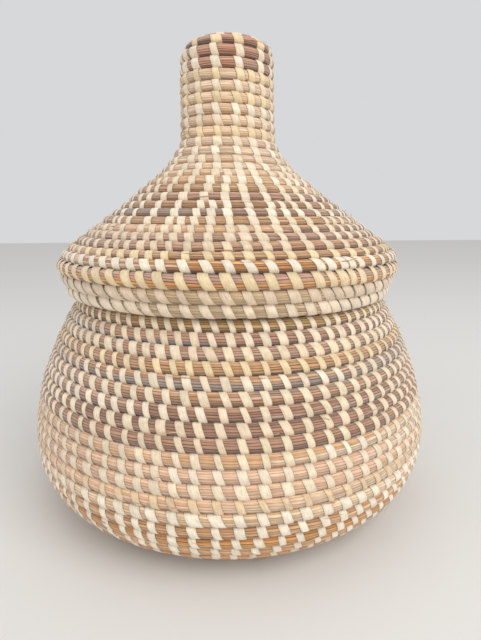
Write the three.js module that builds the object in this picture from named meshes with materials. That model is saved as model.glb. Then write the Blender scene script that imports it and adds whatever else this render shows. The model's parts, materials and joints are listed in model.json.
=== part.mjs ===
// Coiled sweetgrass basket with a peaked lid, in millimetres. +Z is up.
// The origin is the centre of the flat base, which stands on z = 0.
//
// Basket and lid are each one bundle of grass, wound row upon row from a start knot.
// The bundle is fed with one length of grass after another. Each length is a piece,
// an unbroken tube along the spiral, that meets the next length end to end.
import * as THREE from "three";

// Basket: its bundle, and the line that the middle of the bundle follows
const basePitch = 8.4;
const wallPitch = 7.28;
const footRadius = 83.6;
const bellyRadius = 131;
const bellyHeight = 47.9;
const mouthRadius = 91;
const mouthHeight = 150.2;
const basketKnotRadius = 8.01;

// Lid: its bundle in each stretch, and the line that the middle of the bundle follows
const neckPitch = 6.4;
const conePitch = 6.9;
const brimPitch = 7.3;
const knobRadius = 27;
const knobHeight = 10.4;
const neckRadius = 28.3;
const neckHeight = 45.6;
const coneHeight = 70;
const brimHeight = 27.4;
const brimRound = 5.1;
const brimOverhang = 5.5;
const skirtReach = 13.2;
const lidKnotRadius = 5.82;

// Clearances: row to row, length to length, and lid to basket
const rowGap = 0.65;
const spliceGap = 0.3;
const seatGap = 0.3;

// The depth of the bundle, through the wall, as a share of its row pitch
const bundleDepthShare = 0.96;

// Handles of the profile's curves, as shares of each curve's span from its start,
// radius first. On the brim they are shares of its round, its overhang and its height.
const heelShares = [
  [0.297, 0],
  [1, 0.234],
];
const shoulderShares = [
  [0, 0.374],
  [0.5, 0.712],
];
const domeShares = [
  [0.68, 0],
  [1, 0.15],
];
const flareShares = [
  [0, 0.253],
  [0.59, 0.68],
];
const brimShares = [
  [1.7, 0.343],
  [0.82, 0.608],
];

// Outlines of the bundle, as shares of half its depth (outward) and half its width.
// A round row has a crown outside. A row of the base is trodden flat underneath.
const roundRowShares = [
  [1, 0],
  [0.31, 1],
  [-1, 0.6],
  [-1, -0.6],
  [0.31, -1],
];
const flatRowShares = [
  [1, 0.72],
  [-1, 1],
  [-1, -1],
  [1, -0.72],
];
const knotCrownShare = 0.18;

// The free end of each coil thins out over its last steps, down on the row before it
const tailSteps = 3;
const tailThinShare = 0.55;

// Each length of grass with the colour of its grass, and where it ends, as a share of
// its stretch of the coil
const baseShares = [
  ["base_centre_coil", 0.55, 0xb98f5f],
  ["base_outer_coil", 1, 0xa87f57],
];
const wallShares = [
  ["heel_coil", 0.18, 0x9c6f49],
  ["foot_amber_coil", 0.355, 0xb27a47],
  ["foot_straw_coil", 0.44, 0xcfa476],
  ["belly_tan_coil", 0.56, 0xd3b08a],
  ["belly_mauve_coil", 0.678, 0x8a6552],
  ["shoulder_gold_coil", 0.79, 0xa8784c],
  ["shoulder_mauve_coil", 0.874, 0x8f6a54],
  ["mouth_rim_coil", 1, 0xa07850],
];
const lidShares = [
  ["knob_russet_coil", 0.2, 0xa2705c],
  ["neck_straw_coil", 0.373, 0xdcc497],
  ["flare_cream_coil", 0.53, 0xdcc6a8],
  ["cone_amber_coil", 0.595, 0xb98254],
  ["cone_grey_coil", 0.718, 0x8f7265],
  ["cone_mauve_coil", 0.805, 0xa17566],
  ["cone_gold_coil", 0.872, 0xb98347],
  ["brim_coil", 0.93, 0xac7a50],
  ["skirt_coil", 1, 0xd6c39c],
];
const basketKnotColour = 0xbf9a6c;
const lidKnotColour = 0xb07a55;
const grassRoughness = 0.8;

// Steps round one turn, from spoke to spoke. Both coils have their steps on the same
// spokes. Seen from above the basket's coil climbs clockwise, and the lid's falls the
// other way.
const stepsPerTurn = 14;
const stepAngle = (2 * Math.PI) / stepsPerTurn;
const firstSpokeAngle = THREE.MathUtils.degToRad(98.9);
const basketStartSpoke = -5;
const lidStartSpoke = -2;
const basketSense = -1;
const lidSense = 1;

// A straight step cuts inside the true circle, so the corners stand as far outside it
const cornerSwell = (1 + 1 / Math.cos(stepAngle / 2)) / 2;

// Profiles, in the half plane of radius and height

function curveFrom(start, end, shares) {
  const span = end.clone().sub(start);
  const handles = shares.map(([out, up]) =>
    start.clone().add(new THREE.Vector2(out, up).multiply(span)),
  );
  return new THREE.CubicBezierCurve(start, ...handles, end);
}

function joined(...curves) {
  const path = new THREE.CurvePath();
  curves.forEach((curve) => path.add(curve));
  return path;
}

// From the middle of the base, out to the foot, up the belly and in to the mouth
function basketProfile() {
  const floor = (basePitch * bundleDepthShare) / 2;
  const middle = new THREE.Vector2(0, floor);
  const foot = new THREE.Vector2(footRadius, floor);
  const belly = new THREE.Vector2(bellyRadius, bellyHeight);
  const mouth = new THREE.Vector2(mouthRadius, mouthHeight);
  return joined(
    new THREE.LineCurve(middle, foot),
    curveFrom(foot, belly, heelShares),
    curveFrom(belly, mouth, shoulderShares),
  );
}

// From the top of the knob, down the neck, out over the cone and in under the brim.
// Heights are counted from the middle of the skirt's last row.
function lidProfile() {
  const skirt = new THREE.Vector2(mouthRadius + skirtReach, 0);
  const brim = new THREE.Vector2(skirt.x + brimOverhang - brimRound, brimHeight);
  const neck = new THREE.Vector2(neckRadius, brim.y + coneHeight);
  const knob = new THREE.Vector2(knobRadius, neck.y + neckHeight);
  const top = new THREE.Vector2(0, knob.y + knobHeight);
  const [[brimOut, brimDown], [skirtOut, skirtUp]] = brimShares;
  const overBrim = new THREE.Vector2(
    brim.x + brimOut * brimRound,
    brimHeight * (1 - brimDown),
  );
  const underBrim = new THREE.Vector2(
    skirt.x + skirtOut * brimOverhang,
    brimHeight * skirtUp,
  );
  return joined(
    curveFrom(top, knob, domeShares),
    new THREE.LineCurve(knob, neck),
    curveFrom(neck, brim, flareShares),
    new THREE.CubicBezierCurve(brim, overBrim, underBrim, skirt),
  );
}

// The length of a profile up to the end of its first curves
function lengthTo(profile, curveCount) {
  return profile.getCurveLengths()[curveCount - 1];
}

// Coils

function spokeDirection(spoke) {
  const angle = firstSpokeAngle + spoke * stepAngle;
  return new THREE.Vector3(Math.cos(angle), Math.sin(angle), 0);
}

// Walks a profile, one pitch further with each turn, and returns the rings of the coil.
// A ring has the middle of the bundle, the directions along the profile and out of the
// wall, and half the width of the bundle, which fits between the rows beside it.
function wind({ profile, start, pitchAt, startSpoke, sense, side }) {
  const total = profile.getLength();
  const lengths = [start];
  while (lengths.at(-1) < total) {
    lengths.push(lengths.at(-1) + pitchAt(lengths.at(-1)) / stepsPerTurn);
  }
  lengths.pop();
  return lengths.map((length, k) => {
    const along = profile.getTangent(length / total);
    const before = length - (lengths[k - stepsPerTurn] ?? -Infinity);
    const after = (lengths[k + stepsPerTurn] ?? Infinity) - length;
    const pitch = Math.min(before, after, pitchAt(length));
    const stepsLeft = lengths.length - 1 - k;
    const thin = 1 - tailThinShare * Math.max(0, 1 - stepsLeft / tailSteps);
    const middle = profile.getPoint(length / total);
    return {
      spoke: startSpoke + sense * k,
      length,
      middle: middle.addScaledVector(along, ((thin - 1) * pitch) / 2),
      along,
      out: new THREE.Vector2(along.y, -along.x).multiplyScalar(side),
      halfWidth: (thin * (pitch - rowGap)) / 2,
      halfDepth: (thin * pitch * bundleDepthShare) / 2,
    };
  });
}

// The outline of the bundle at a ring, in the half plane of radius and height
function outlineAt(ring, shares) {
  return shares.map(([outShare, alongShare]) =>
    ring.middle
      .clone()
      .addScaledVector(ring.out, outShare * ring.halfDepth)
      .addScaledVector(ring.along, alongShare * ring.halfWidth),
  );
}

function inSpace(point, spoke) {
  return spokeDirection(spoke)
    .multiplyScalar(point.x * cornerSwell)
    .setZ(point.y);
}

function placedOutline(ring, shares) {
  return outlineAt(ring, shares).map((point) => inSpace(point, ring.spoke));
}

// The first step of a coil is straight and spans two, so that it is longer than the
// bundle is wide. Its end is cut square to it.
function startFrame(rings) {
  const [first, , next] = rings;
  const middle = inSpace(first.middle, first.spoke);
  const ahead = inSpace(next.middle, next.spoke).sub(middle).setZ(0).normalize();
  const outward = new THREE.Vector3(ahead.y, -ahead.x, 0);
  if (outward.dot(middle) < 0) outward.negate();
  return { middle, ahead, outward };
}

function squareStart(rings, shares) {
  const { middle, outward } = startFrame(rings);
  const [first] = rings;
  return outlineAt(first, shares).map((point) =>
    middle
      .clone()
      .addScaledVector(outward, point.x - first.middle.x)
      .setZ(point.y),
  );
}

function between(outlineA, outlineB, share) {
  return outlineA.map((point, k) => point.clone().lerp(outlineB[k], share));
}

// The outlines of one length of grass. Where it meets the next length, both end in the
// middle of a straight step, square to it, with half a splice gap each.
function lengthOutlines(rings, shares, from, to) {
  const placed = (k) => placedOutline(rings[k], shares);
  const cut = (k, towards) => {
    const stepLength = inSpace(rings[k].middle, rings[k].spoke).distanceTo(
      inSpace(rings[k + 1].middle, rings[k + 1].spoke),
    );
    const share = 1 / 2 + (towards * spliceGap) / 2 / stepLength;
    return between(placed(k), placed(k + 1), share);
  };
  const head = from === 0 ? [squareStart(rings, shares)] : [cut(from - 1, 1)];
  const body = rings
    .map((ring, k) => k)
    .slice(from === 0 ? 2 : from, to)
    .map(placed);
  return [...head, ...body, cut(to - 1, -1)];
}

// A closed tube through outlines of as many points each
function tube(outlines) {
  const sides = outlines[0].length;
  const positions = outlines.flat().flatMap((point) => point.toArray());
  const faces = [];
  for (let ring = 1; ring < outlines.length; ring++) {
    for (let k = 0; k < sides; k++) {
      const a = (ring - 1) * sides + k;
      const b = (ring - 1) * sides + ((k + 1) % sides);
      faces.push(a, b, b + sides, a, b + sides, a + sides);
    }
  }
  const last = (outlines.length - 1) * sides;
  for (let k = 2; k < sides; k++) {
    faces.push(0, k, k - 1, last, last + k - 1, last + k);
  }
  const geometry = new THREE.BufferGeometry();
  geometry.setAttribute("position", new THREE.Float32BufferAttribute(positions, 3));
  geometry.setIndex(signedVolume(positions, faces) < 0 ? faces.reverse() : faces);
  geometry.computeVertexNormals();
  return geometry;
}

function signedVolume(positions, faces) {
  const corner = (k) => new THREE.Vector3().fromArray(positions, 3 * faces[k]);
  let sum = 0;
  for (let k = 0; k < faces.length; k += 3) {
    sum += corner(k).dot(corner(k + 1).cross(corner(k + 2)));
  }
  return sum;
}

// The least distance between two outlines, from each one's points to the other's sides
function outlineDistance(outlineA, outlineB) {
  const nearest = new THREE.Vector3();
  const reach = (points, sides) =>
    points.flatMap((point) =>
      sides.map((corner, k) =>
        new THREE.Line3(corner, sides.at(k - 1))
          .closestPointToPoint(point, true, nearest)
          .distanceTo(point),
      ),
    );
  return Math.min(...reach(outlineA, outlineB), ...reach(outlineB, outlineA));
}

// A length of grass comes nearest to itself one turn on, in the plane of the same spoke
function leastGap(rings, shares, from, to) {
  const gaps = rings
    .slice(Math.max(from, 2), to - stepsPerTurn)
    .map((ring, k) =>
      outlineDistance(
        placedOutline(ring, shares),
        placedOutline(rings[Math.max(from, 2) + k + stepsPerTurn], shares),
      ),
    );
  return Math.min(...gaps);
}

// The knot fills the middle of the first turn like a snail, and its step, where the
// bundle leaves it, faces the square start of the coil
function knotGeometry(rings) {
  const { middle, ahead, outward } = startFrame(rings);
  const [first] = rings;
  const reach = first.halfWidth + rowGap;
  const round = rings
    .slice(2, stepsPerTurn)
    .map((ring) =>
      spokeDirection(ring.spoke).multiplyScalar(ring.middle.x * cornerSwell - reach),
    );
  const step = middle.clone().addScaledVector(ahead, -spliceGap);
  const corners = [
    ...round,
    step.clone().addScaledVector(outward, first.halfWidth),
    step.clone().addScaledVector(outward, -reach),
  ];
  const bevel = knotCrownShare * first.halfDepth;
  const thickness = 2 * first.halfDepth;
  return new THREE.ExtrudeGeometry(new THREE.Shape(corners), {
    depth: thickness - 2 * bevel,
    bevelThickness: bevel,
    bevelSize: bevel,
    bevelOffset: -bevel,
    bevelSegments: 1,
  }).translate(0, 0, first.middle.y - first.halfDepth + bevel);
}

// The lid's seat: how far the lid can drop before a row of it meets a row of the basket

function heightsAt(outline, radius) {
  return outline.flatMap((corner, k) => {
    const other = outline.at(k - 1);
    const share = (radius - corner.x) / (other.x - corner.x);
    return share >= 0 && share <= 1 ? [corner.y + share * (other.y - corner.y)] : [];
  });
}

function dropBetween(upper, lower) {
  const drops = [
    ...upper.map((p) => p.y - Math.max(...heightsAt(lower, p.x))),
    ...lower.map((p) => Math.min(...heightsAt(upper, p.x)) - p.y),
  ];
  return Math.min(...drops);
}

function dropOnto(lidRings, basketRings) {
  let least = Infinity;
  for (const lidRing of lidRings) {
    const upper = outlineAt(lidRing, roundRowShares);
    for (const ring of basketRings) {
      if ((ring.spoke - lidRing.spoke) % stepsPerTurn !== 0) continue;
      least = Math.min(least, dropBetween(upper, outlineAt(ring, roundRowShares)));
    }
  }
  return least;
}

// Pieces

function addPiece(group, name, geometry, colour) {
  const material = new THREE.MeshStandardMaterial({
    color: colour,
    roughness: grassRoughness,
    metalness: 0,
  });
  const piece = new THREE.Mesh(geometry, material);
  piece.name = name;
  group.add(piece);
}

// Adds the lengths of grass that make up one stretch of a coil, and says how near each
// comes to itself
function addLengths(group, rings, rowShares, lengthShares, stretchStart, stretchEnd) {
  const ringAt = (length) => rings.findLastIndex((ring) => ring.length <= length);
  let from = stretchStart === rings[0].length ? 0 : ringAt(stretchStart);
  for (const [name, endShare, colour] of lengthShares) {
    const end = stretchStart + endShare * (stretchEnd - stretchStart);
    const to = Math.min(ringAt(end), rings.length - 1);
    addPiece(group, name, tube(lengthOutlines(rings, rowShares, from, to)), colour);
    const gap = leastGap(rings, rowShares, from, to);
    console.log(`${name}: least gap to itself ${gap.toFixed(2)} mm`);
    from = to;
  }
}

const part = new THREE.Group();

// Basket
const basketPath = basketProfile();
const baseEnd = lengthTo(basketPath, 1);
const basketRings = wind({
  profile: basketPath,
  start: basketKnotRadius + basePitch / 2,
  pitchAt: (length) => (length < baseEnd ? basePitch : wallPitch),
  startSpoke: basketStartSpoke,
  sense: basketSense,
  side: 1,
});
const basket = new THREE.Group();
addPiece(basket, "basket_start_knot", knotGeometry(basketRings), basketKnotColour);
addLengths(
  basket,
  basketRings,
  flatRowShares,
  baseShares,
  basketRings[0].length,
  baseEnd,
);
addLengths(
  basket,
  basketRings,
  roundRowShares,
  wallShares,
  baseEnd,
  basketPath.getLength(),
);
part.add(basket);

// Lid
const lidPath = lidProfile();
const neckEnd = lengthTo(lidPath, 2);
const coneEnd = lengthTo(lidPath, 3);
const lidRings = wind({
  profile: lidPath,
  start: lidKnotRadius + neckPitch / 2,
  pitchAt: (length) => {
    if (length < neckEnd) return neckPitch;
    return length < coneEnd ? conePitch : brimPitch;
  },
  startSpoke: lidStartSpoke,
  sense: lidSense,
  side: -1,
});
const lid = new THREE.Group();
addPiece(lid, "lid_start_knot", knotGeometry(lidRings), lidKnotColour);
addLengths(
  lid,
  lidRings,
  roundRowShares,
  lidShares,
  lidRings[0].length,
  lidPath.getLength(),
);
lid.position.z = seatGap - dropOnto(lidRings, basketRings);
part.add(lid);

export default part;
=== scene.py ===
import json
import math

import bpy
import numpy as np
from mathutils import Matrix, Vector


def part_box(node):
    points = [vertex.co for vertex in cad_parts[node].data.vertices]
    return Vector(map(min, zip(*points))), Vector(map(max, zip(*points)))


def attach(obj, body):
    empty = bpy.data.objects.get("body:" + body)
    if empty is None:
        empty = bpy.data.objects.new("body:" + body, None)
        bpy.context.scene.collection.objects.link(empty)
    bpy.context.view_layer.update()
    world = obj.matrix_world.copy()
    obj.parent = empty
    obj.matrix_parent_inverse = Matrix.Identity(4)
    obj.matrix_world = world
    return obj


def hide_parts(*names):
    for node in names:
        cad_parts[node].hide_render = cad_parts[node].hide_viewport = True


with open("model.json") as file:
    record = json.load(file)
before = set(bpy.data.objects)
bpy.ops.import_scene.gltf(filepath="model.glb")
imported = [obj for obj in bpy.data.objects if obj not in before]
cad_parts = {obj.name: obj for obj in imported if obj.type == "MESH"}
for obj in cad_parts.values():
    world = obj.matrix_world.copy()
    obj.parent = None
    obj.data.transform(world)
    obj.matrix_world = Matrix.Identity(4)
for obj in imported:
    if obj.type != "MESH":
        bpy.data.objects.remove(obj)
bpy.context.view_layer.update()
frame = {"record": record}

# The coiled basket is drawn in millimetres and written in metres. A turn is once round
# the coil, and reach is the way along its bundle.
MM = 0.001
FULL_TURN = 2 * math.pi

# Sizes of the solids, in millimetres
BASE_PITCH, WALL_PITCH = 8.4, 7.28
FOOT_RADIUS, BELLY_RADIUS, BELLY_HEIGHT = 83.6, 131.0, 47.9
MOUTH_RADIUS, MOUTH_HEIGHT = 91.0, 150.2
NECK_PITCH = 6.4
KNOB_RADIUS, KNOB_HEIGHT = 27.0, 10.4
NECK_RADIUS, NECK_HEIGHT = 28.3, 45.6
CONE_HEIGHT, BRIM_HEIGHT = 70.0, 27.4
BRIM_ROUND, BRIM_OVERHANG, SKIRT_REACH = 5.1, 5.5, 13.2
BASKET_KNOT_RADIUS, LID_KNOT_RADIUS = 8.01, 5.82
BASKET_START = BASKET_KNOT_RADIUS + BASE_PITCH / 2
LID_START = LID_KNOT_RADIUS + NECK_PITCH / 2
DEPTH_SHARE = 0.96

# Spokes of the solids' coils. The first one stands at this angle, in degrees
STEPS_PER_TURN = 14
FIRST_SPOKE = 98.9
BASKET_START_SPOKE, LID_START_SPOKE = -5, -2

# Handles of the profiles' curves, as shares of the way from one end to the other
HEEL_SHARES = ((0.297, 0), (1, 0.234))
SHOULDER_SHARES = ((0, 0.374), (0.5, 0.712))
DOME_SHARES = ((0.68, 0), (1, 0.15))
FLARE_SHARES = ((0, 0.253), (0.59, 0.68))
BRIM_SHARES = ((1.7, 0.343), (0.82, 0.608))

# Colours, written as they look
PALETTES = {
    "mauve": (
        (196, 150, 124), (210, 166, 140), (174, 128, 102), (218, 178, 150), (194, 144, 104),
    ),
    "dark": ((176, 130, 102), (196, 148, 118), (152, 108, 84), (208, 164, 132)),
    "grey": ((180, 158, 142), (156, 136, 124), (196, 176, 158), (190, 152, 126)),
    # Bluish grey glints on the left of two rows: a painted reflection
    "silver": ((158, 154, 156), (188, 186, 188), (122, 114, 114), (172, 144, 126)),
    "gold": ((222, 170, 118), (208, 152, 100), (234, 188, 138), (192, 140, 98)),
    "amber": ((238, 166, 86), (246, 184, 108), (212, 142, 76), (194, 136, 92)),
    "olive": ((214, 172, 108), (190, 148, 88), (230, 190, 126), (174, 130, 80)),
    "rose": ((244, 200, 164), (236, 190, 152), (248, 210, 178), (222, 176, 140)),
    "tan": ((236, 186, 138), (226, 174, 124), (244, 200, 156), (212, 160, 112)),
    "straw": ((244, 202, 156), (236, 192, 144), (248, 214, 174), (226, 180, 134)),
    "cream": ((244, 211, 176), (238, 202, 164), (247, 217, 186), (232, 193, 154)),
    "sweetgrass": ((210, 178, 138), (192, 160, 120), (222, 196, 158), (172, 140, 104)),
    "russet": ((216, 158, 126), (198, 138, 106), (228, 182, 152), (190, 130, 96)),
}
STRIP_COLOURS = (
    (242, 222, 194), (244, 225, 200), (238, 215, 184), (234, 212, 180),
    (246, 230, 206), (238, 218, 184), (240, 219, 188), (230, 207, 176),
)
EVEN_PALETTES = {"rose", "straw", "cream", "tan", "sweetgrass"}

# Grass of each turn of the coil, from the start. Three entries are its left, its front
# and its right, with half the width of its front in degrees if need be, and a stroke
# parts the strands on top from those below.
BASKET_TURNS = (
    ["tan"] * 4 + ["gold"] * 3 + ["tan", "mauve", "mauve", "gold", "gold", "mauve", "tan"]
    + ["amber", ("tan", "gold", "gold"), ("gold", "amber", "gold"), ("tan", "gold", "tan")]
    + [("rose", "straw", "cream"), ("rose", "tan", "cream", 22), ("rose", "rose", "straw")]
    + [("rose", "rose", "cream"), ("rose", "tan", "cream", 16), ("dark", "dark", "mauve")]
    + [("dark", "dark", "mauve"), ("mauve", "dark", "mauve"), ("mauve", "gold", "grey/mauve")]
    + [("mauve/grey", "gold/grey", "grey"), ("mauve", "gold", "gold/mauve")]
    # The silver on the left of these rows is painted reflection
    + [("silver/mauve", "mauve", "mauve"), ("silver", "mauve/dark", "mauve")]
    + [("mauve", "olive", "olive"), "gold", "mauve", "gold"]
)
LID_TURNS = (
    ["amber", "russet", ("mauve", "russet", "russet"), ("mauve", "russet", "mauve")]
    + [("russet", "russet", "mauve")] + [("cream", "straw", "cream", 12)] * 8
    + [("cream", "tan", "cream", 10), ("rose", "straw", "cream"), ("straw", "straw", "rose")]
    + [("tan", "tan", "cream"), ("gold", "gold", "rose"), ("gold", "mauve", "mauve")]
    + [("gold", "gold", "mauve"), ("grey", "grey/mauve", "gold/mauve")]
    + [("gold", "amber/gold", "rose"), ("rose", "tan", "mauve"), ("rose", "mauve", "mauve")]
    + [("mauve", "mauve", "gold"), ("rose", "gold", "gold"), ("rose", "amber", "gold")]
    + ["mauve/amber"] + ["sweetgrass"] * 3
)

# Rows whose strips are all of one leaf
LEAVES = {
    "white": (244, 229, 204), "ivory": (240, 219, 190), "honey": (238, 212, 168),
    "ash": (226, 201, 172), "wheat": (232, 202, 162),
}
LID_STRIPS = {
    1: "ivory", 2: "honey", 3: "ivory", 4: "white", 5: "honey", 6: "ivory", 7: "honey",
    8: "white", 9: "ivory", 10: "honey", 11: "ivory", 12: "white", 20: "white", 25: "honey",
    26: "white", 27: "honey", 28: "ash", 29: "ivory", 30: "ash",
}
BASKET_STRIPS = {16: "white", 17: "white", 18: "white", 19: "wheat", 20: "ivory", 28: "honey"}

# Where the front is and how far it reaches to either side, give or take a blur, and the
# room between strips on the left, on the front and on the right, as shares
FRONT = math.radians(-89)
ZONE = math.radians(32)
ZONE_BLUR = 0.1
SIDE_ROOM = (1.1, 1.12, 1.06)


def linear(colour):
    """A colour as light, from the way it looks."""
    share = np.asarray(colour, float) / 255
    return np.where(share <= 0.04045, share / 12.92, ((share + 0.055) / 1.055) ** 2.4)


# Profiles, in the half plane of radius and height

CURVE_POINTS = 600


def bezier(*handles):
    t = np.linspace(0, 1, CURVE_POINTS)[:, None]
    a, b, c, d = (np.asarray(handle, float) for handle in handles)
    return (1 - t) ** 3 * a + 3 * (1 - t) ** 2 * t * b + 3 * (1 - t) * t**2 * c + t**3 * d


def curve(start, end, shares):
    start, end = np.asarray(start, float), np.asarray(end, float)
    return bezier(start, *(start + np.array(share) * (end - start) for share in shares), end)


def line(start, end):
    return np.linspace(start, end, CURVE_POINTS)


class Profile:
    """A line in the half plane, with the direction along it and out of the wall."""

    def __init__(self, parts, side):
        self.points = np.concatenate([parts[0]] + [part[1:] for part in parts[1:]])
        steps = np.hypot(*np.diff(self.points, axis=0).T)
        self.lengths = np.concatenate([[0], np.cumsum(steps)])
        self.length = self.lengths[-1]
        self.along = np.gradient(self.points, self.lengths, axis=0)
        self.along /= np.hypot(*self.along.T)[:, None]
        self.side = side

    def read(self, values, s):
        return np.stack([np.interp(s, self.lengths, column) for column in values.T], -1)

    def at(self, s):
        along = self.read(self.along, s)
        out = np.stack([along[..., 1], -along[..., 0]], -1) * self.side
        return self.read(self.points, s), along, out


def basket_profile():
    floor = BASE_PITCH * DEPTH_SHARE / 2
    foot, belly = (FOOT_RADIUS, floor), (BELLY_RADIUS, BELLY_HEIGHT)
    return Profile(
        [
            line((0, floor), foot),
            curve(foot, belly, HEEL_SHARES),
            curve(belly, (MOUTH_RADIUS, MOUTH_HEIGHT), SHOULDER_SHARES),
        ],
        1,
    )


def lid_profile(height):
    skirt = (MOUTH_RADIUS + SKIRT_REACH, height)
    brim = (skirt[0] + BRIM_OVERHANG - BRIM_ROUND, height + BRIM_HEIGHT)
    neck = (NECK_RADIUS, brim[1] + CONE_HEIGHT)
    knob = (KNOB_RADIUS, neck[1] + NECK_HEIGHT)
    (brim_out, brim_down), (skirt_out, skirt_up) = BRIM_SHARES
    over = (brim[0] + brim_out * BRIM_ROUND, height + BRIM_HEIGHT * (1 - brim_down))
    under = (skirt[0] + skirt_out * BRIM_OVERHANG, height + BRIM_HEIGHT * skirt_up)
    return Profile(
        [
            curve((0, knob[1] + KNOB_HEIGHT), knob, DOME_SHARES),
            line(knob, neck),
            curve(neck, brim, FLARE_SHARES),
            bezier(brim, over, under, skirt),
        ],
        -1,
    )


# The coils

FINE = 0.02
KNOT_START = 2.4
LEAST_RADIUS = 1
WAVE_SPREAD = (0.8, 1.25)


class Coil:
    """A bundle wound along a profile. s is the way along the profile. Turns are counted
    from where the solids' coil starts, and the knot lies before it."""

    def __init__(self, profile, pitches, start, start_spoke, sense):
        self.profile, self.pitches, self.sense = profile, pitches, sense
        self.s = np.arange(KNOT_START, profile.length, FINE)
        turns = np.cumsum(FINE / self.pitch(self.s))
        self.turns = turns - np.interp(start, self.s, turns)
        self.start_angle = math.radians(FIRST_SPOKE + start_spoke * 360 / STEPS_PER_TURN)
        radius = np.maximum(self.profile.at(self.s)[0][:, 0], LEAST_RADIUS)
        self.reach = np.cumsum(FULL_TURN * radius * FINE / self.pitch(self.s))

    def pitch(self, s):
        return np.interp(s, *zip(*self.pitches))

    def s_at(self, turn):
        return np.interp(turn, self.turns, self.s)

    def turn_at(self, s):
        return np.interp(s, self.s, self.turns)

    def reach_at(self, turn):
        return np.interp(turn, self.turns, self.reach)

    def turn_of(self, reach):
        return np.interp(reach, self.reach, self.turns)

    def angle_at(self, turn):
        return self.start_angle + self.sense * FULL_TURN * turn

    def radius_at(self, turn):
        return self.profile.at(self.s_at(turn))[0][..., 0]


class Wander:
    """Smooth wandering along the coil, one column each, about size high. lengths are
    those of its waves, in millimetres."""

    def __init__(self, rng, size, lengths, columns=1):
        shape = (len(lengths), columns)
        lengths_drawn = np.array(lengths)[:, None] * rng.uniform(*WAVE_SPREAD, shape)
        self.waves = FULL_TURN / lengths_drawn
        self.phases = rng.uniform(0, FULL_TURN, shape)
        self.size = size / math.sqrt(len(lengths))

    def at(self, reach):
        waves = np.sin(np.asarray(reach)[:, None, None] * self.waves + self.phases)
        return self.size * waves.sum(1)


def away_from_front(angle):
    """How far an angle is from the front, below zero on the left."""
    return (angle - FRONT + math.pi) % FULL_TURN - math.pi


def side_of(angle, rng, zone=ZONE):
    """Which part of the basket a place is on: 0 the left, 1 the front and 2 the right."""
    away = away_from_front(angle) + rng.normal(0, ZONE_BLUR)
    return 0 if away < -zone else 2 if away > zone else 1


# Sewing

# Turns before the first strip and, at the least, after the last
SEWN_FROM, SEWN_UP_TO = 0.02, 0.004
SEWN_LEAST_RADIUS = 2.5
# Shares of a gap: within which the next strip is too close, how far a strip settles
# towards the middle between its neighbours, and how much it strays
TOO_CLOSE, SETTLING, STRAY = 0.25, 0.4, 0.035


def sew(coil, rng, first_gap, widest, uneven, drift):
    """Turns at which the strips cross the bundle. In the first turn they are first_gap
    apart. After it each follows the one a turn before it, moved on by drift, and where
    the gap is more than widest, give or take the share uneven, a new one comes in."""
    last_turn = coil.turns[-1] - SEWN_UP_TO
    sewn = [coil.turns[0] + SEWN_FROM]
    parent = 0
    while sewn[-1] < last_turn:
        here = sewn[-1]
        around = FULL_TURN * max(coil.radius_at(here), SEWN_LEAST_RADIUS)
        if here < sewn[0] + 1:
            sewn.append(here + first_gap / around)
            continue
        follow = sewn[parent] + 1 + drift / around
        if follow <= here + TOO_CLOSE * first_gap / around:
            parent += 1
            continue
        gap = (follow - here) * around
        room = widest * SIDE_ROOM[side_of(coil.angle_at(here), rng)]
        if gap > room * rng.uniform(1 - uneven, 1 + uneven):
            sewn.append(here + gap / 2 / around)
            continue
        after = sewn[parent + 1] + 1 + drift / around
        middle = (here + after) / 2
        sewn.append(follow + SETTLING * (middle - follow) + rng.normal(0, STRAY) * gap / around)
        parent += 1
    return np.array(sewn[:-1])


# Meshes

def new_mesh(name, corners, faces, colours, uvs, material):
    """A mesh from arrays: corner places in millimetres, faces of four, a colour for each
    corner and a place on the strand or strip for each corner of each face."""
    mesh = bpy.data.meshes.new(name)
    mesh.vertices.add(len(corners))
    mesh.vertices.foreach_set("co", (corners * MM).astype(np.float32).ravel())
    mesh.loops.add(faces.size)
    mesh.loops.foreach_set("vertex_index", faces.astype(np.int32).ravel())
    mesh.polygons.add(len(faces))
    mesh.polygons.foreach_set("loop_start", np.arange(0, faces.size, 4, dtype=np.int32))
    mesh.polygons.foreach_set("use_smooth", np.ones(len(faces), bool))
    mesh.update(calc_edges=True)
    tint = mesh.color_attributes.new("tint", "FLOAT_COLOR", "POINT")
    rgba = np.concatenate([colours, np.ones((len(colours), 1))], 1)
    tint.data.foreach_set("color", rgba.astype(np.float32).ravel())
    layer = mesh.uv_layers.new(name="grain")
    layer.uv.foreach_set("vector", uvs.astype(np.float32).ravel())
    mesh.materials.append(material)
    mesh.validate()
    piece = bpy.data.objects.new(name, mesh)
    bpy.context.scene.collection.objects.link(piece)
    return piece


def grid_faces(rows, columns):
    """Faces of four between the rows of a grid whose columns close on themselves, with
    the row and the column of each."""
    row, column = np.meshgrid(np.arange(rows - 1), np.arange(columns), indexing="ij")
    a = row * columns + column
    b = row * columns + (column + 1) % columns
    faces = np.stack([a, b, b + columns, a + columns], -1)
    return faces.reshape(-1, 4), row.ravel(), column.ravel()


def repeated(faces, count, corners_each):
    """The faces of one piece for count pieces alike, one after the other."""
    return (faces[None] + (np.arange(count) * corners_each)[:, None, None]).reshape(-1, 4)


# The bundle

STRANDS = 16
# Corners on a strand's crest, by how many strands it is from the outermost one
CREST_SAMPLES = (4, 4, 4, 4, 3, 2, 2, 2, 2)
ROUNDNESS = 2.3
WIDTH_SHARE = 0.497
STRAND_DEPTH, CREST_POWER = 0.085, 0.6

# How far strips pull the bundle in, how far it puffs out between them, and the share of
# the pull at the knot's first ring
PINCH, PUFF = 0.962, 1.024
KNOT_PULL = 0.5
# From strip to strip there are two steps of rings for these degrees or a part of them
RING_DEGREES = 15

# The free end gets thinner by these shares over its last steps of a turn
THINNING = ((0.5, 3), (0.32, 0.8))

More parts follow.
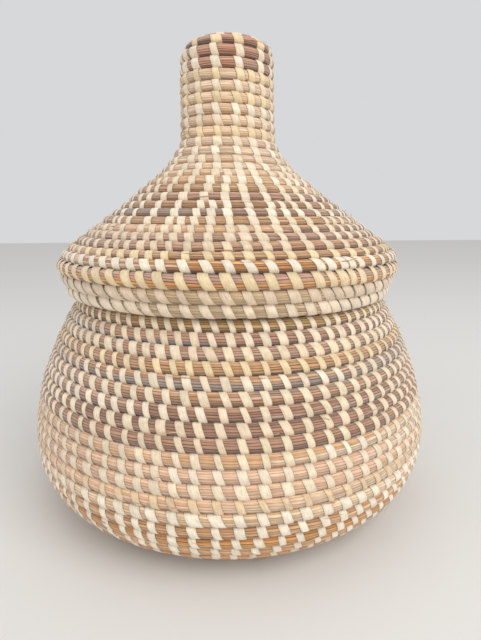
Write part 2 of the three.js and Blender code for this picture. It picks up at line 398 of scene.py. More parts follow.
# Where the knot begins the bundle is narrow. It has its full width from this share of a
# pitch on, less the margin
KNOT_MARGIN, KNOT_ROOM_SHARE = 0.3, 0.62

# The least radius that sideways offsets swing on, as a share of the coil's own
SWING_SHARE = 0.85

# Wanderings along the coil: how large they are, and the lengths of their waves
SWAY = (0.16, (70, 190, 420))
FULLNESS = (0.006, (23, 55))
EDGE_WANDER = (0.2, (37, 61, 140))
TWIST = (0.16, (90, 210, 330))
CROWN_WANDER = (0.014, (43, 87))
CREASE_WANDER = (0.2, (29, 83))

# How a strand's length and colour are drawn
STRAND_LENGTHS = (60, 200)
FIRST_STRAND_BEFORE = 150
FULL_LENGTH_RADIUS, SHORTEST_SHARE, SHORTENING = 80, 0.1, 1.5
TOP_FROM = 0.3
ROW_BLUR = 0.08
OWN_COLOUR_SHARE = 0.65
STRAND_BRIGHTNESS, STRAND_DARKEST, STRAND_BRIGHTEST = 0.09, 0.8, 1.12
DARKEST_GRASS, BRIGHTEST_GRASS = 0.01, 0.95

# Light left in the creases between strands, more of it on top of a row
CREASE_LIGHT, CREASE_DARKEST, CREASE_BRIGHTEST = 0.26, 0.08, 0.7
CREASE_TOP_LIGHT = 0.45
EVEN_CREASE_LIGHT = 0.5

# Light lost in the groove under a row and beside a strip, and gained on top of a row
GROOVE_FROM, GROOVE_OVER = -0.55, 0.4
GROOVE_SHADE, EVEN_GROOVE_SHADE = 0.6, 0.3
STRIP_SHADOW = 0.2
TOP_LIGHT = 0.2


def strand_samples():
    """Where the bundle's outline has corners, in strands round from the outside."""
    samples = []
    for strand in range(STRANDS):
        count = CREST_SAMPLES[min(strand, STRANDS - strand)]
        samples += [strand - 0.5 + k / count for k in range(count)]
    return np.array(samples)


SAMPLES = strand_samples()


def beside(coil, turn, out, along):
    """Radius and height of points out of the wall and along the profile from the middle."""
    middle, along_way, out_way = coil.profile.at(coil.s_at(turn))
    return middle + out[..., None] * out_way + along[..., None] * along_way


def place(coil, turn, out, along, sideways=None):
    """Points beside the middle of the coil, in millimetres. out, along and sideways are
    offsets out of the wall, along the profile and round the axis. None is below the
    floor."""
    flat, angle = beside(coil, turn, out, along), coil.angle_at(turn)
    if sideways is not None:
        swing = sideways / np.maximum(flat[..., 0], SWING_SHARE * coil.radius_at(turn))
        flat = beside(coil, turn + coil.sense * swing / FULL_TURN, out, along)
        angle = angle + swing
    points = np.stack(
        [flat[..., 0] * np.cos(angle), flat[..., 0] * np.sin(angle), flat[..., 1]], -1
    )
    points[..., 2] = np.maximum(points[..., 2], 0.0)
    return points


def round_share(angle):
    """The radius of the bundle's rounded outline at an angle."""
    return (np.abs(np.cos(angle)) ** ROUNDNESS + np.abs(np.sin(angle)) ** ROUNDNESS) ** (
        -1 / ROUNDNESS
    )


class Bundle:
    """The bundle's outline before its strands are cut in, the same for grass and strips."""

    def __init__(self, coil, rng, swell):
        self.coil, self.swell = coil, swell
        self.sway = Wander(rng, *SWAY)
        self.fullness = Wander(rng, *FULLNESS)

    def half_sizes(self, turn):
        """Half the depth and half the width, and the share left towards the free end."""
        coil = self.coil
        s = coil.s_at(turn)
        pitch = coil.pitch(s)
        left = (coil.turns[-1] - turn) * STEPS_PER_TURN
        thin = 1
        for loss, steps in THINNING:
            thin = thin - loss * np.clip(1 - left / steps, 0, 1)
        room = np.minimum(1, (s + KNOT_MARGIN) / (KNOT_ROOM_SHARE * pitch))
        depth = thin * pitch * DEPTH_SHARE / 2 * self.swell(turn)
        return depth, thin * room * pitch * WIDTH_SHARE, thin

    def outline(self, turn, angle, squeeze):
        """Offsets out of the wall and along the profile. angle is 0 on the crown."""
        half_depth, half_width, thin = self.half_sizes(turn)
        reach = self.coil.reach_at(turn)
        size = round_share(angle) * (squeeze + self.fullness.at(reach))
        out = half_depth[:, None] * size * np.cos(angle) + self.sway.at(reach)
        along = half_width[:, None] * round_share(angle) * np.sin(angle)
        return out, along - ((1 - thin) * half_width / thin)[:, None]


def ring_turns(coil, sewn):
    """Turns of the rings, one under each strip and one between, closer where the coil is
    tight, and how far the strip pulls the bundle in at each."""
    edges = np.concatenate([[coil.turns[0]], sewn, [coil.turns[-1]]])
    pulls = np.concatenate([[KNOT_PULL], np.ones(len(sewn) + 1)])
    turns, pull = [], []
    for k in range(len(edges) - 1):
        count = 2 * max(1, math.ceil((edges[k + 1] - edges[k]) * 360 / RING_DEGREES))
        share = np.arange(count) / count
        turns.append(edges[k] + share * (edges[k + 1] - edges[k]))
        ends = pulls[k] * (1 - share) + pulls[k + 1] * share
        pull.append(ends * np.abs(2 * share - 1))
    return np.concatenate(turns + [edges[-1:]]), np.concatenate(pull + [pulls[-1:]])


def palette_of(palettes, first_turn, turn, angle, on_top, rng):
    """The palette of the grass at a place, for a strand on top or below."""
    row = round(float(turn) + rng.normal(0, ROW_BLUR) - first_turn)
    entry = palettes[min(max(row, 0), len(palettes) - 1)]
    if not isinstance(entry, str):
        zone = math.radians(entry[3]) if len(entry) > 3 else ZONE
        entry = entry[side_of(angle, rng, zone)]
    names = entry.split("/")
    return names[0] if on_top else names[-1]


def strand_colours(coil, turns, palettes, first_turn, up, rng):
    """A colour for each strand at each ring, and whether its palette is an even one. A
    strand ends after a while, sooner where the coil is small, and the next takes its
    place."""
    reach = coil.reach_at(turns)
    colours = np.zeros((len(turns), STRANDS, 3))
    even = np.zeros((len(turns), STRANDS), bool)
    for strand in range(STRANDS):
        on_top = math.sin(FULL_TURN * strand / STRANDS) * up > TOP_FROM
        start = reach[0] - rng.uniform(0, FIRST_STRAND_BEFORE)
        while start < reach[-1]:
            radius = coil.radius_at(coil.turn_of(start))
            length = rng.uniform(*STRAND_LENGTHS) * (
                np.clip(radius / FULL_LENGTH_RADIUS, SHORTEST_SHARE, 1) ** SHORTENING
            )
            turn = coil.turn_of(start + length / 2)
            name = palette_of(palettes, first_turn, turn, coil.angle_at(turn), on_top, rng)
            shades = linear(PALETTES[name])
            colour = shades[rng.integers(len(shades))]
            colour = OWN_COLOUR_SHARE * colour + (1 - OWN_COLOUR_SHARE) * shades.mean(0)
            brightness = rng.normal(1, STRAND_BRIGHTNESS)
            span = (reach >= start) & (reach < start + length)
            colours[span, strand] = colour * np.clip(brightness, STRAND_DARKEST, STRAND_BRIGHTEST)
            even[span, strand] = name in EVEN_PALETTES
            start += length
    return np.clip(colours, DARKEST_GRASS, BRIGHTEST_GRASS), even


def lay_grass(form, sewn, palettes, first_turn, up, lightness, rng):
    """All rings of the bundle: their turns and reach, and the place and the colour of
    each corner."""
    coil = form.coil
    turns, pull = ring_turns(coil, sewn)
    reach = coil.reach_at(turns)
    strand = np.floor(SAMPLES + 0.5).astype(int)
    share = SAMPLES + 0.5 - strand
    edges = np.arange(STRANDS) - 0.5 + Wander(rng, *EDGE_WANDER, STRANDS).at(reach)
    edges = np.concatenate([edges, edges[:, :1] + STRANDS], 1)
    low, high = edges[:, strand], edges[:, strand + 1]
    angle = FULL_TURN * (low + share * (high - low)) / STRANDS
    angle = angle + Wander(rng, *TWIST).at(reach)
    crest = np.cos(math.pi * (share - 0.5)) ** CREST_POWER
    crown = 1 + Wander(rng, *CROWN_WANDER, STRANDS).at(reach)[:, strand]
    cut = crown * (1 - STRAND_DEPTH * (1 - crest))
    squeeze = (PUFF + (PINCH - PUFF) * pull)[:, None] * cut
    out, along = form.outline(turns, angle, squeeze)
    corners = place(coil, turns[:, None], out, along)

    shade, even = strand_colours(coil, turns, palettes, first_turn, up, rng)
    own = shade[:, strand]
    before = shade[:, (strand - 1) % STRANDS]
    even = even[:, strand]
    height = up * np.sin(angle)
    light = CREASE_LIGHT + Wander(rng, *CREASE_WANDER, STRANDS).at(reach)
    deep = np.clip(light, CREASE_DARKEST, CREASE_BRIGHTEST)[:, strand]
    deep = deep * (1 + CREASE_TOP_LIGHT * height)
    crease = np.where(even, EVEN_CREASE_LIGHT + (1 - EVEN_CREASE_LIGHT) * deep, deep)
    creased = (own + before) / 2 * crease[..., None]
    colours = np.where((share == 0)[None, :, None], creased, own)
    colours = colours * (1 - STRIP_SHADOW * pull[:, None, None] ** 2)
    # Lighter or darker by body and place: the lid is lighter all over, and the grass under the
    # skirt's side-by-side strips is painted darker as shade
    colours = colours * lightness(turns, coil.angle_at(turns))[:, None, None]
    groove = np.clip((GROOVE_FROM - height) / GROOVE_OVER, 0, 1)
    lost = np.where(even, EVEN_GROOVE_SHADE, GROOVE_SHADE) * groove
    colours = colours * (1 + TOP_LIGHT * height)[..., None] * (1 - lost)[..., None]
    return {"turns": turns, "reach": reach, "corners": corners, "colours": colours}


def bundle_piece(name, rings, low, high, material):
    """The rings between two turns as one closed tube."""
    first = np.argmin(np.abs(rings["turns"] - low))
    last = np.argmin(np.abs(rings["turns"] - high))
    corners = rings["corners"][first : last + 1]
    colours = rings["colours"][first : last + 1]
    reach = rings["reach"][first : last + 1]
    rows, columns = corners.shape[:2]
    faces, row, column = grid_faces(rows, columns)
    across = np.append(SAMPLES, SAMPLES[0] + STRANDS)
    u = np.stack([reach[row], reach[row], reach[row + 1], reach[row + 1]], -1)
    v = np.stack([across[column], across[column + 1], across[column + 1], across[column]], -1)
    # Each end closes on a middle point, with two sides of the outline to a face
    middles = [corners[0].mean(0), corners[-1].mean(0)]
    caps = []
    for end, start in enumerate((0, (rows - 1) * columns)):
        for k in range(0, columns, 2):
            around = [start + (k + j) % columns for j in range(3)]
            caps.append([rows * columns + end] + (around if end else around[::-1]))
    places = np.concatenate([corners.reshape(-1, 3), middles])
    tints = np.concatenate([colours.reshape(-1, 3), colours[[0, -1]].mean(1)])
    faces = np.concatenate([faces, np.array(caps)])
    uvs = np.concatenate([np.stack([u, v], -1), np.zeros((len(caps), 4, 2))])
    return new_mesh(name, places, faces, tints, uvs, material)


# The strips

STRIP_ANGLES = np.radians(
    [-108, -92, -76, -58, -38, -18, 4, 26, 46, 64, 80, 94, 108, 132, 160, 200, 228]
)
# Corners across a strip: their place, in half widths, their height and their light
STRIP_ACROSS = np.array([-1.08, -0.94, -0.5, 0.5, 0.94, 1.08])
STRIP_LIFT = np.array([0.06, 0.2, 0.3, 0.3, 0.2, 0.06])
STRIP_SHADE = np.array([0.08, 0.9, 1.0, 1.0, 0.9, 0.08])
# How far outside the bundle that it pulls in a strip lies, as a share
STRIP_GAP = 0.006

# How unlike the strips are. Those wider than STEADY_WIDTH keep their width
STEADY_WIDTH = 6
WIDTH_SPREAD, NARROWEST, WIDEST = 0.1, 0.7, 1.3
WIDEST_RADIUS_SHARE = 0.4
LEAN_SPREAD = 0.45
LIFT_RANGE = (0.85, 1.15)

# Where a strip is sewn through the row before it, at the angle UNDER and over some more:
# how much further in it goes, and how small a coil is too small for it
UNDER, PIERCE_OVER = math.radians(-90), 0.5
PIERCE_RANGE = (0.5, 1.1)
PIERCE_DEPTH, PIERCE_PULL = 0.3, 0.22
PIERCE_LEAST_RADIUS, PIERCE_RADIUS_OVER = 9, 8

# How much narrower a strip is towards the row before it and the row after it, as a share
# and a power
NARROW_BEFORE, NARROW_AFTER = (0.14, 5), (0.04, 8)

# Colours of the strips: the chance that the next is of a new leaf, its brightness, and
# the light that it loses where it turns in between the rows
NEW_LEAF_CHANCE = 0.12
LEAF_ROW_BLUR = 0.05
LEAF_BRIGHTNESS, LEAF_DARKEST, LEAF_BRIGHTEST = 0.045, 0.85, 1.1
END_SHADE, END_FROM, END_OVER = 0.22, 0.8, 0.2
BRIGHTEST_LEAF = 0.97
GRAIN_SHIFT = 900


def wind_strips(form, sewn, style, row_leaves, first_turn, up, rng):
    """All strips round the bundle as loops, with their turns, corners and colours. style
    gives the width and the lean of each."""
    coil, count = form.coil, len(sewn)
    angle = np.repeat(STRIP_ANGLES[None], count, 0)
    cos, sin = np.cos(angle), np.sin(angle)
    width, lean = style(sewn, coil.angle_at(sewn))
    uneven = rng.normal(1, WIDTH_SPREAD, count).clip(NARROWEST, WIDEST)
    width = width * np.where(width > STEADY_WIDTH, 1, uneven)
    width = np.minimum(width, WIDEST_RADIUS_SHARE * coil.radius_at(sewn))
    lean = lean + rng.normal(0, LEAN_SPREAD, count)
    pierce = np.exp(-(((angle - UNDER) / PIERCE_OVER) ** 2))
    pierce = pierce * rng.uniform(*PIERCE_RANGE, (count, 1))
    roomy = np.clip((coil.radius_at(sewn) - PIERCE_LEAST_RADIUS) / PIERCE_RADIUS_OVER, 0, 1)
    pierce = pierce * roomy[:, None]
    out, along = form.outline(sewn, angle, PINCH + STRIP_GAP + PIERCE_DEPTH * pierce)
    along = along * (1 + PIERCE_PULL * pierce)
    narrow = 1
    for (loss, power), toward in ((NARROW_BEFORE, -sin), (NARROW_AFTER, sin)):
        narrow = narrow - loss * np.clip(toward, 0, 1) ** power
    lean = -up * lean[:, None] * np.clip(sin * round_share(angle), -1, 1) / 2
    lift = STRIP_LIFT * rng.uniform(*LIFT_RANGE, (count, 1, 1))
    out = out[..., None] + lift * cos[..., None]
    along = along[..., None] + lift * sin[..., None]
    side = lean[..., None] + STRIP_ACROSS * (width[:, None] * narrow / 2)[..., None]
    corners = place(coil, sewn[:, None, None], out, along, side)

    group = np.cumsum(rng.random(count) < NEW_LEAF_CHANCE)
    picks = rng.integers(len(STRIP_COLOURS), size=group[-1] + 1)[group]
    base = linear(STRIP_COLOURS)[picks]
    rows = np.round(sewn - first_turn + rng.normal(0, LEAF_ROW_BLUR, count)).astype(int)
    for row, leaf in row_leaves.items():
        base[rows == row] = linear(LEAVES[leaf])
    base = base * rng.normal(1, LEAF_BRIGHTNESS, (count, 1)).clip(LEAF_DARKEST, LEAF_BRIGHTEST)
    ends = 1 - END_SHADE * np.clip((np.abs(sin) - END_FROM) / END_OVER, 0, 1)
    colours = base[:, None, None, :] * (ends[..., None] * STRIP_SHADE)[..., None]
    return {"turns": sewn, "corners": corners, "colours": np.clip(colours, 0, BRIGHTEST_LEAF)}


def strip_piece(name, loops, low, high, material, rng):
    """The strips between two turns as one mesh of closed ribbons."""
    chosen = (loops["turns"] >= low) & (loops["turns"] < high)
    corners = loops["corners"][chosen]
    count, segments, across = corners.shape[:3]
    segment, edge = np.meshgrid(np.arange(segments), np.arange(across), indexing="ij")
    next_segment, next_edge = (segment + 1) % segments, (edge + 1) % across
    ribbon = np.stack(
        [
            segment * across + edge,
            next_segment * across + edge,
            next_segment * across + next_edge,
            segment * across + next_edge,
        ],
        -1,
    )
    u = np.stack([segment, segment + 1, segment + 1, segment], -1)
    v = STRIP_ACROSS[np.stack([edge, edge, next_edge, next_edge], -1)]
    uv = np.stack([u, v], -1).reshape(-1, 4, 2)
    shift = np.stack([rng.uniform(0, GRAIN_SHIFT, count), rng.uniform(0, GRAIN_SHIFT, count)], -1)
    uvs = (uv[None] + shift[:, None, None, :]).reshape(-1, 4, 2)
    faces = repeated(ribbon.reshape(-1, 4), count, segments * across)
    colours = loops["colours"][chosen].reshape(-1, 3)
    return new_mesh(name, corners.reshape(-1, 3), faces, colours, uvs, material)


# Loose ends of grass

BLADE_STEPS = np.linspace(0, 1, 6)
BLADE_SIDES = 4
BLADE_SHADES = ("straw", "tan", "gold", "sweetgrass")
BLADE_LENGTHS = (6, 20)
# Where on the bundle a blade starts, from the crown, and how far it turns on its way
BLADE_PLACES, BLADE_TURNING = (-0.8, 0.9), (-0.5, 0.5)
# How far its tip stands off, by which power it rises and how deep its root lies
BLADE_RISE, RISE_POWER, ROOT_DEPTH = (0.8, 2.6), 1.5, 0.1
BLADE_HALF_WIDTH, BLADE_TAPER, BLADE_FLATNESS = 0.38, 0.7, 0.5
BLADE_BRIGHTNESS = (0.8, 1.1)
# Turns at the free end of the coil that have none
BARE_TURNS = 3


def loose_ends(name, form, material, rng, count, from_turn):
    """Thin blades that come out of the bundle and run along it, one closed tube each."""
    coil = form.coil
    first, last = coil.reach_at(from_turn), coil.reach_at(coil.turns[-1] - BARE_TURNS)
    start = rng.uniform(first, last, (count, 1))
    length = rng.uniform(*BLADE_LENGTHS, (count, 1))
    reach = start + length * BLADE_STEPS
    turns = coil.turn_of(reach).ravel()
    turned = rng.uniform(*BLADE_TURNING, (count, 1)) * BLADE_STEPS
    angle = (rng.uniform(*BLADE_PLACES, (count, 1)) + turned).reshape(-1, 1)
    lift = rng.uniform(*BLADE_RISE, (count, 1)) * BLADE_STEPS**RISE_POWER - ROOT_DEPTH
    half = BLADE_HALF_WIDTH * (1 - BLADE_TAPER * BLADE_STEPS) * np.ones((count, 1))
    across = half.reshape(-1, 1) * [-1, 0, 1, 0]
    away = lift.reshape(-1, 1) + half.reshape(-1, 1) * [0, BLADE_FLATNESS, 0, -BLADE_FLATNESS]
    out, along = form.outline(turns, angle, 1.0)
    out = out + away * np.cos(angle) - across * np.sin(angle)
    along = along + away * np.sin(angle) + across * np.cos(angle)
    corners = place(coil, turns[:, None], out, along)
    rings, sides = len(BLADE_STEPS), BLADE_SIDES
    ends = np.array([[3, 2, 1, 0], (rings - 1) * sides + np.arange(sides)])
    blade = np.concatenate([grid_faces(rings, sides)[0], ends])
    faces = repeated(blade, count, rings * sides)
    shades = linear([PALETTES[shade][0] for shade in BLADE_SHADES])
    colours = shades[rng.integers(len(shades), size=count)]
    colours = colours * rng.uniform(*BLADE_BRIGHTNESS, (count, 1))
    colours = np.clip(np.repeat(colours, rings * sides, 0), 0, BRIGHTEST_GRASS)
    places = np.stack([np.repeat(reach.ravel(), sides), np.tile(np.arange(sides), reach.size)], -1)
    uvs = places[faces.ravel()].reshape(-1, sides, 2)
    return new_mesh(name, corners.reshape(-1, 3), faces, colours, uvs, material)


# Materials

# The range of a noise value that is spread out
NOISE_RANGE = (0.3, 0.7)
BRIGHTEST_FIBRE = 1.1
BLOTCH_RANGE = (0.9, 1.06)
ROUGHER, SMOOTHER = 0.12, 0.1
SPECULAR, SHEEN, SHEEN_ROUGHNESS = 0.28, 0.35, 0.6
RELIEF_DEPTH_M = 0.0003


def node(tree, kind, **values):
    made = tree.nodes.new(kind)
    for key, value in values.items():
        setattr(made, key, value)
    return made


def grain_texture(tree, scale_u, scale_v, detail, roughness):
    """Noise stretched along the strand or strip."""
    uv = node(tree, "ShaderNodeUVMap", uv_map="grain")
    scaled = node(tree, "ShaderNodeMapping")
    scaled.inputs["Scale"].default_value = (scale_u, scale_v, 1)
    tree.links.new(uv.outputs["UV"], scaled.inputs["Vector"])
    noise = node(tree, "ShaderNodeTexNoise", noise_dimensions="2D")
    noise.inputs["Scale"].default_value = 1
    noise.inputs["Detail"].default_value = detail
    noise.inputs["Roughness"].default_value = roughness
    tree.links.new(scaled.outputs["Vector"], noise.inputs["Vector"])
    return noise.outputs["Fac"]


def ranged(tree, value, low, high):
    """A noise value spread out between two others."""
    spread = node(tree, "ShaderNodeMapRange")
    names = ("From Min", "From Max", "To Min", "To Max")
    for name, number in zip(names, (*NOISE_RANGE, low, high)):
        spread.inputs[name].default_value = number
    tree.links.new(value, spread.inputs["Value"])
    return spread.outputs["Result"]


def multiplied(tree, a, b):
    product = node(tree, "ShaderNodeMath", operation="MULTIPLY")
    tree.links.new(a, product.inputs[0])
    tree.links.new(b, product.inputs[1])
    return product.outputs[0]


def plant_material(name, fibres, blotches, darkest_fibre, relief, roughness):
    """Dried leaf or grass: the piece's own tint, streaked by fibres and blotches. Each
    noise has its scale along and across, its detail and its roughness."""
    material = bpy.data.materials.new(name)
    material.use_nodes = True
    tree = material.node_tree
    shader = tree.nodes["Principled BSDF"]
    tint = node(tree, "ShaderNodeAttribute", attribute_name="tint")
    fibre = grain_texture(tree, *fibres)
    blotch = grain_texture(tree, *blotches)
    streaks = ranged(tree, fibre, darkest_fibre, BRIGHTEST_FIBRE)
    shade = multiplied(tree, streaks, ranged(tree, blotch, *BLOTCH_RANGE))
    coloured = node(tree, "ShaderNodeVectorMath", operation="SCALE")
    tree.links.new(tint.outputs["Color"], coloured.inputs[0])
    tree.links.new(shade, coloured.inputs["Scale"])
    tree.links.new(coloured.outputs["Vector"], shader.inputs["Base Color"])
    rough = ranged(tree, fibre, roughness + ROUGHER, roughness - SMOOTHER)
    tree.links.new(rough, shader.inputs["Roughness"])
    shader.inputs["Specular IOR Level"].default_value = SPECULAR
    shader.inputs["Sheen Weight"].default_value = SHEEN
    shader.inputs["Sheen Roughness"].default_value = SHEEN_ROUGHNESS
    bump = node(tree, "ShaderNodeBump")
    bump.inputs["Strength"].default_value = relief
    bump.inputs["Distance"].default_value = RELIEF_DEPTH_M
    tree.links.new(fibre, bump.inputs["Height"])
    tree.links.new(bump.outputs["Normal"], shader.inputs["Normal"])
    return material


slots = {part["node"]: part["material_slot"] for part in frame["record"]["subparts"]}
grasses = {
    slot: plant_material(
        slot, fibres=(0.06, 4.6, 3, 0.72), blotches=(0.02, 0.8, 2, 0.5),
        darkest_fibre=0.62, relief=0.6, roughness=0.66,
    )
    for slot in sorted(set(slots.values()))
}
palm = plant_material(
    "palm_strip", fibres=(0.3, 4.2, 3, 0.75), blotches=(0.5, 0.5, 2, 0.5),
    darkest_fibre=0.82, relief=0.4, roughness=0.6,
)


# The bands, each with the share of its coil at which it ends, as the solids have them

BASE_BANDS = (("base_centre_coil", 0.55), ("base_outer_coil", 1))
WALL_BANDS = (
    ("heel_coil", 0.18), ("foot_amber_coil", 0.355), ("foot_straw_coil", 0.44),
    ("belly_tan_coil", 0.56), ("belly_mauve_coil", 0.678), ("shoulder_gold_coil", 0.79),
    ("shoulder_mauve_coil", 0.874), ("mouth_rim_coil", 1),
)
LID_BANDS = (
    ("knob_russet_coil", 0.2), ("neck_straw_coil", 0.373), ("flare_cream_coil", 0.53),
    ("cone_amber_coil", 0.595), ("cone_grey_coil", 0.718), ("cone_mauve_coil", 0.805),
    ("cone_gold_coil", 0.872), ("brim_coil", 0.93), ("skirt_coil", 1),
)


def band_ends(coil, knot, bands, start, end):
    """The name, the first turn and the last turn of each band, after those of the knot."""
    found, low = [], coil.turn_at(start)
    if knot:
        found.append((knot, coil.turns[0], low))
    for name, share in bands:
        high = coil.turn_at(start + share * (end - start))
        found.append((name, low, high))
        low = high
    return found


def dress(
    body, coil, ends, *, palettes, row_leaves, first_turn, up, lightness, sewing, style, swell,
    loose, seed,
):
    """The grass and the strips of each band of a coil, and the loose ends of all. up is 1
    where the coil rises and -1 where it goes down. Rows count from first_turn."""
    rng = np.random.default_rng(seed)
    form = Bundle(coil, rng, swell)
    sewn = sew(coil, rng, **sewing)
    rings = lay_grass(form, sewn, palettes, first_turn, up, lightness, rng)
    loops = wind_strips(form, sewn, style, row_leaves, first_turn, up, rng)
    for name, low, high in ends:
        grass = bundle_piece(f"{name}_grass", rings, low, high, grasses[slots[name]])
        sewing_piece = strip_piece(f"{name}_strips", loops, low, high, palm, rng)
        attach(grass, body)
        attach(sewing_piece, body)
        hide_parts(name)
    blades = loose_ends(f"{body}_loose_ends", form, grasses["straw_grass"], rng, **loose)
    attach(blades, body)


# A way along the profile, in millimetres, that is past the end of both
PROFILE_END = 400


# Basket

# The pitch goes over to the wall's this far before and after the foot
FOOT_BEND = 0.1
# The pitch of the rows by the way along the profile
BASKET_PITCHES = (
    (0, BASE_PITCH), (FOOT_RADIUS - FOOT_BEND, BASE_PITCH),
    (FOOT_RADIUS + FOOT_BEND, WALL_PITCH), (PROFILE_END, WALL_PITCH),
)
# Turns of the basket and the width of the strips there
BASKET_STRIP_WIDTHS = (
    (14, 4.4), (17, 4.3), (18.2, 5.7), (19.2, 4.0), (20.2, 5.3), (21.2, 4.4), (23.2, 3.9),
    (24.2, 4.6), (26.2, 4.6), (28.2, 3.7), (29.2, 5.2), (30.2, 4.2), (31.2, 3.5),
)
BASKET_LEAN = 2.6
BASKET_LIGHT = 1.03
# The flat base leaves room for the strips under it, and these turns go over to the wall
BASE_SWELLS = ((9.2, 0.93), (10.2, 1.0))


def basket_style(turn, angle):
    """The width and the lean of the strips."""
    return np.interp(turn, *zip(*BASKET_STRIP_WIDTHS)), np.full(len(turn), BASKET_LEAN)


def basket_lightness(turn, angle):
    return np.full(len(turn), BASKET_LIGHT)


def basket_swell(turn):
    return np.interp(turn, *zip(*BASE_SWELLS))


basket_path = basket_profile()
basket_coil = Coil(basket_path, BASKET_PITCHES, BASKET_START, BASKET_START_SPOKE, -1)
basket_ends = band_ends(
    basket_coil, "basket_start_knot", BASE_BANDS, BASKET_START, FOOT_RADIUS
) + band_ends(basket_coil, None, WALL_BANDS, FOOT_RADIUS, basket_path.length)
dress(
    "basket", basket_coil, basket_ends,
    palettes=BASKET_TURNS, row_leaves=BASKET_STRIPS, first_turn=0.163, up=1,
    lightness=basket_lightness, style=basket_style, swell=basket_swell,
    sewing={"first_gap": 7.5, "widest": 12.6, "uneven": 0.1, "drift": -0.5},
    loose={"count": 100, "from_turn": 13}, seed=11,
)


# Lid

KNOT_ABOVE_SKIRT = 156.29
LID_PITCHES = (
    (0, 6.3), (41, 6.5), (76, 6.4), (90, 7.1), (108, 6.0), (120, 7.9), (140, 7.2),
    (152, 7.2), (164, 6.7), (178, 7.1), (184, 5.4), (192, 7.6), (PROFILE_END, 7.6),
)
# Turns of the lid and the width and the lean of the strips there
LID_STRIP_WIDTHS = (
    (0, 5.6), (4.6, 5.6), (5.4, 4.9), (14, 5.0), (18, 4.7), (23, 4.5), (26, 4.5),
    (27.2, 5.6), (30, 5.4),
)
LID_STRIP_LEANS = ((0, 2.2), (10, 1.8), (23, 1.8), (26, 2.2), (27, 4.0), (30, 3.6))

# The skirt's strips lie side by side beyond these degrees from the front. A little
# further on no grass is seen between them, and there the grass is painted darker as shade
SKIRT_FROM = 28.12
SKIRT_FRONT, SKIRT_SHADE_FRONT = 24, 29
SKIRT_COVER_SHARE, SKIRT_LEAN = 0.9, 5.5
# The lid's grass is made lighter all over, and where the skirt's strips hide it, it is painted
# darker as shade
LID_LIGHT, SKIRT_LIGHT = 1.1, 0.5
# The brim's thick row
BRIM_TURN, BRIM_TURNS_OVER, BRIM_POWER, BRIM_SWELL = 27.1, 0.7, 4, 0.07


def wrapped(turn, angle, front=SKIRT_FRONT):
    """Where the strips of the skirt lie side by side and hide the grass."""
    return (turn > SKIRT_FROM) & (np.abs(away_from_front(angle)) > math.radians(front))


def lid_style(turn, angle):
    """The width and the lean of the strips."""
    hides = wrapped(turn, angle)
    width = np.interp(turn, *zip(*LID_STRIP_WIDTHS))
    lean = np.interp(turn, *zip(*LID_STRIP_LEANS))
    spacing = np.gradient(turn) * FULL_TURN * lid_coil.radius_at(turn)
    return (
        np.where(hides, SKIRT_COVER_SHARE * spacing, width), np.where(hides, SKIRT_LEAN, lean)
    )


# The lid's grass is lighter all over, and painted darker as shade where the skirt's strips lie
# side by side
def lid_lightness_and_shade(turn, angle):
    return np.where(wrapped(turn, angle, SKIRT_SHADE_FRONT), SKIRT_LIGHT, LID_LIGHT)


def lid_swell(turn):
    return 1 + BRIM_SWELL * np.exp(-(((turn - BRIM_TURN) / BRIM_TURNS_OVER) ** BRIM_POWER))


lid_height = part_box("lid_start_knot")[1].z / MM - KNOT_ABOVE_SKIRT
lid_path = lid_profile(lid_height)
lid_coil = Coil(lid_path, LID_PITCHES, LID_START, LID_START_SPOKE, 1)
lid_ends = band_ends(lid_coil, "lid_start_knot", LID_BANDS, LID_START, lid_path.length)
dress(
    "lid", lid_coil, lid_ends,
    palettes=LID_TURNS, row_leaves=LID_STRIPS, first_turn=0.62, up=-1,
    lightness=lid_lightness_and_shade, style=lid_style, swell=lid_swell,
    sewing={"first_gap": 6.5, "widest": 13.2, "uneven": 0.2, "drift": 0.0},
    loose={"count": 70, "from_turn": 2}, seed=23,
)


# Stage: a plain pale floor and soft, level light

FLOOR_SIZE_M = 6
FLOOR_COLOUR, FLOOR_ROUGHNESS = (226, 224, 220), 0.9
SKY_COLOUR, SKY_STRENGTH = (0.97, 0.98, 1.0, 1), 0.7
LIGHT_AIM_M = (0, 0, 0.14)


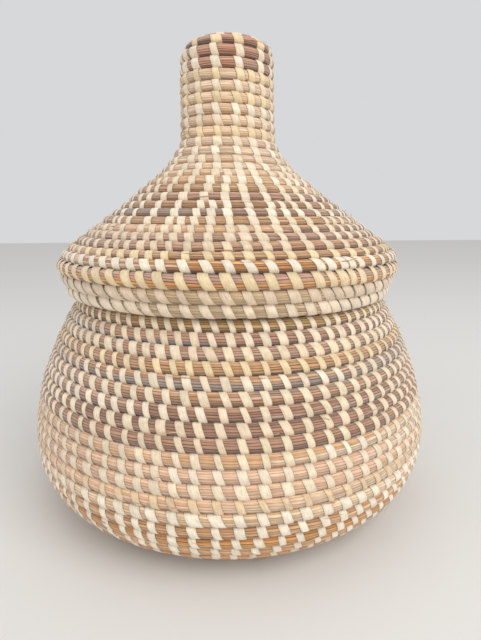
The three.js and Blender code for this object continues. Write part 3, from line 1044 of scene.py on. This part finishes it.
def plain_material(name, colour):
    material = bpy.data.materials.new(name)
    material.use_nodes = True
    shader = material.node_tree.nodes["Principled BSDF"]
    shader.inputs["Base Color"].default_value = (*linear(colour), 1)
    shader.inputs["Roughness"].default_value = FLOOR_ROUGHNESS
    return material


def area_light(name, place_m, size_m, watts):
    light = bpy.data.lights.new(name, "AREA")
    light.size, light.energy = size_m, watts
    lamp = bpy.data.objects.new(name, light)
    bpy.context.scene.collection.objects.link(lamp)
    lamp.location = place_m
    toward = Vector(LIGHT_AIM_M) - lamp.location
    lamp.rotation_euler = toward.to_track_quat("-Z", "Y").to_euler()


bpy.ops.mesh.primitive_plane_add(size=FLOOR_SIZE_M)
floor = bpy.context.object
floor.name = "floor"
floor.data.materials.append(plain_material("floor", FLOOR_COLOUR))

world = bpy.data.worlds.new("studio")
bpy.context.scene.world = world
world.use_nodes = True
background = world.node_tree.nodes["Background"]
background.inputs["Color"].default_value = SKY_COLOUR
background.inputs["Strength"].default_value = SKY_STRENGTH
area_light("key", place_m=(0.8, -1.0, 1.2), size_m=1.2, watts=15)
area_light("fill", place_m=(-1.2, -0.7, 0.8), size_m=1.2, watts=3.5)


# Camera, where the photograph was taken from. The long side of the picture is the
# sensor's

PICTURE_PIXELS, FOCAL_PIXELS = 640, 462
SENSOR_MM = 36
CAMERA_PLACE_M = (0.00766, -0.32708, 0.19011)
CAMERA_DOWN, CAMERA_ROLL = 12.9, -0.42
NEAREST_M = 0.01

camera_data = bpy.data.cameras.new("camera")
camera_data.sensor_width = SENSOR_MM
camera_data.lens = FOCAL_PIXELS * SENSOR_MM / PICTURE_PIXELS
camera_data.clip_start = NEAREST_M
camera = bpy.data.objects.new("camera", camera_data)
bpy.context.scene.collection.objects.link(camera)
camera.matrix_world = (
    Matrix.Translation(CAMERA_PLACE_M)
    @ Matrix.Rotation(math.radians(90 - CAMERA_DOWN), 4, "X")
    @ Matrix.Rotation(math.radians(CAMERA_ROLL), 4, "Z")
)
bpy.context.scene.camera = camera
bpy.context.scene.view_settings.view_transform = "Standard"
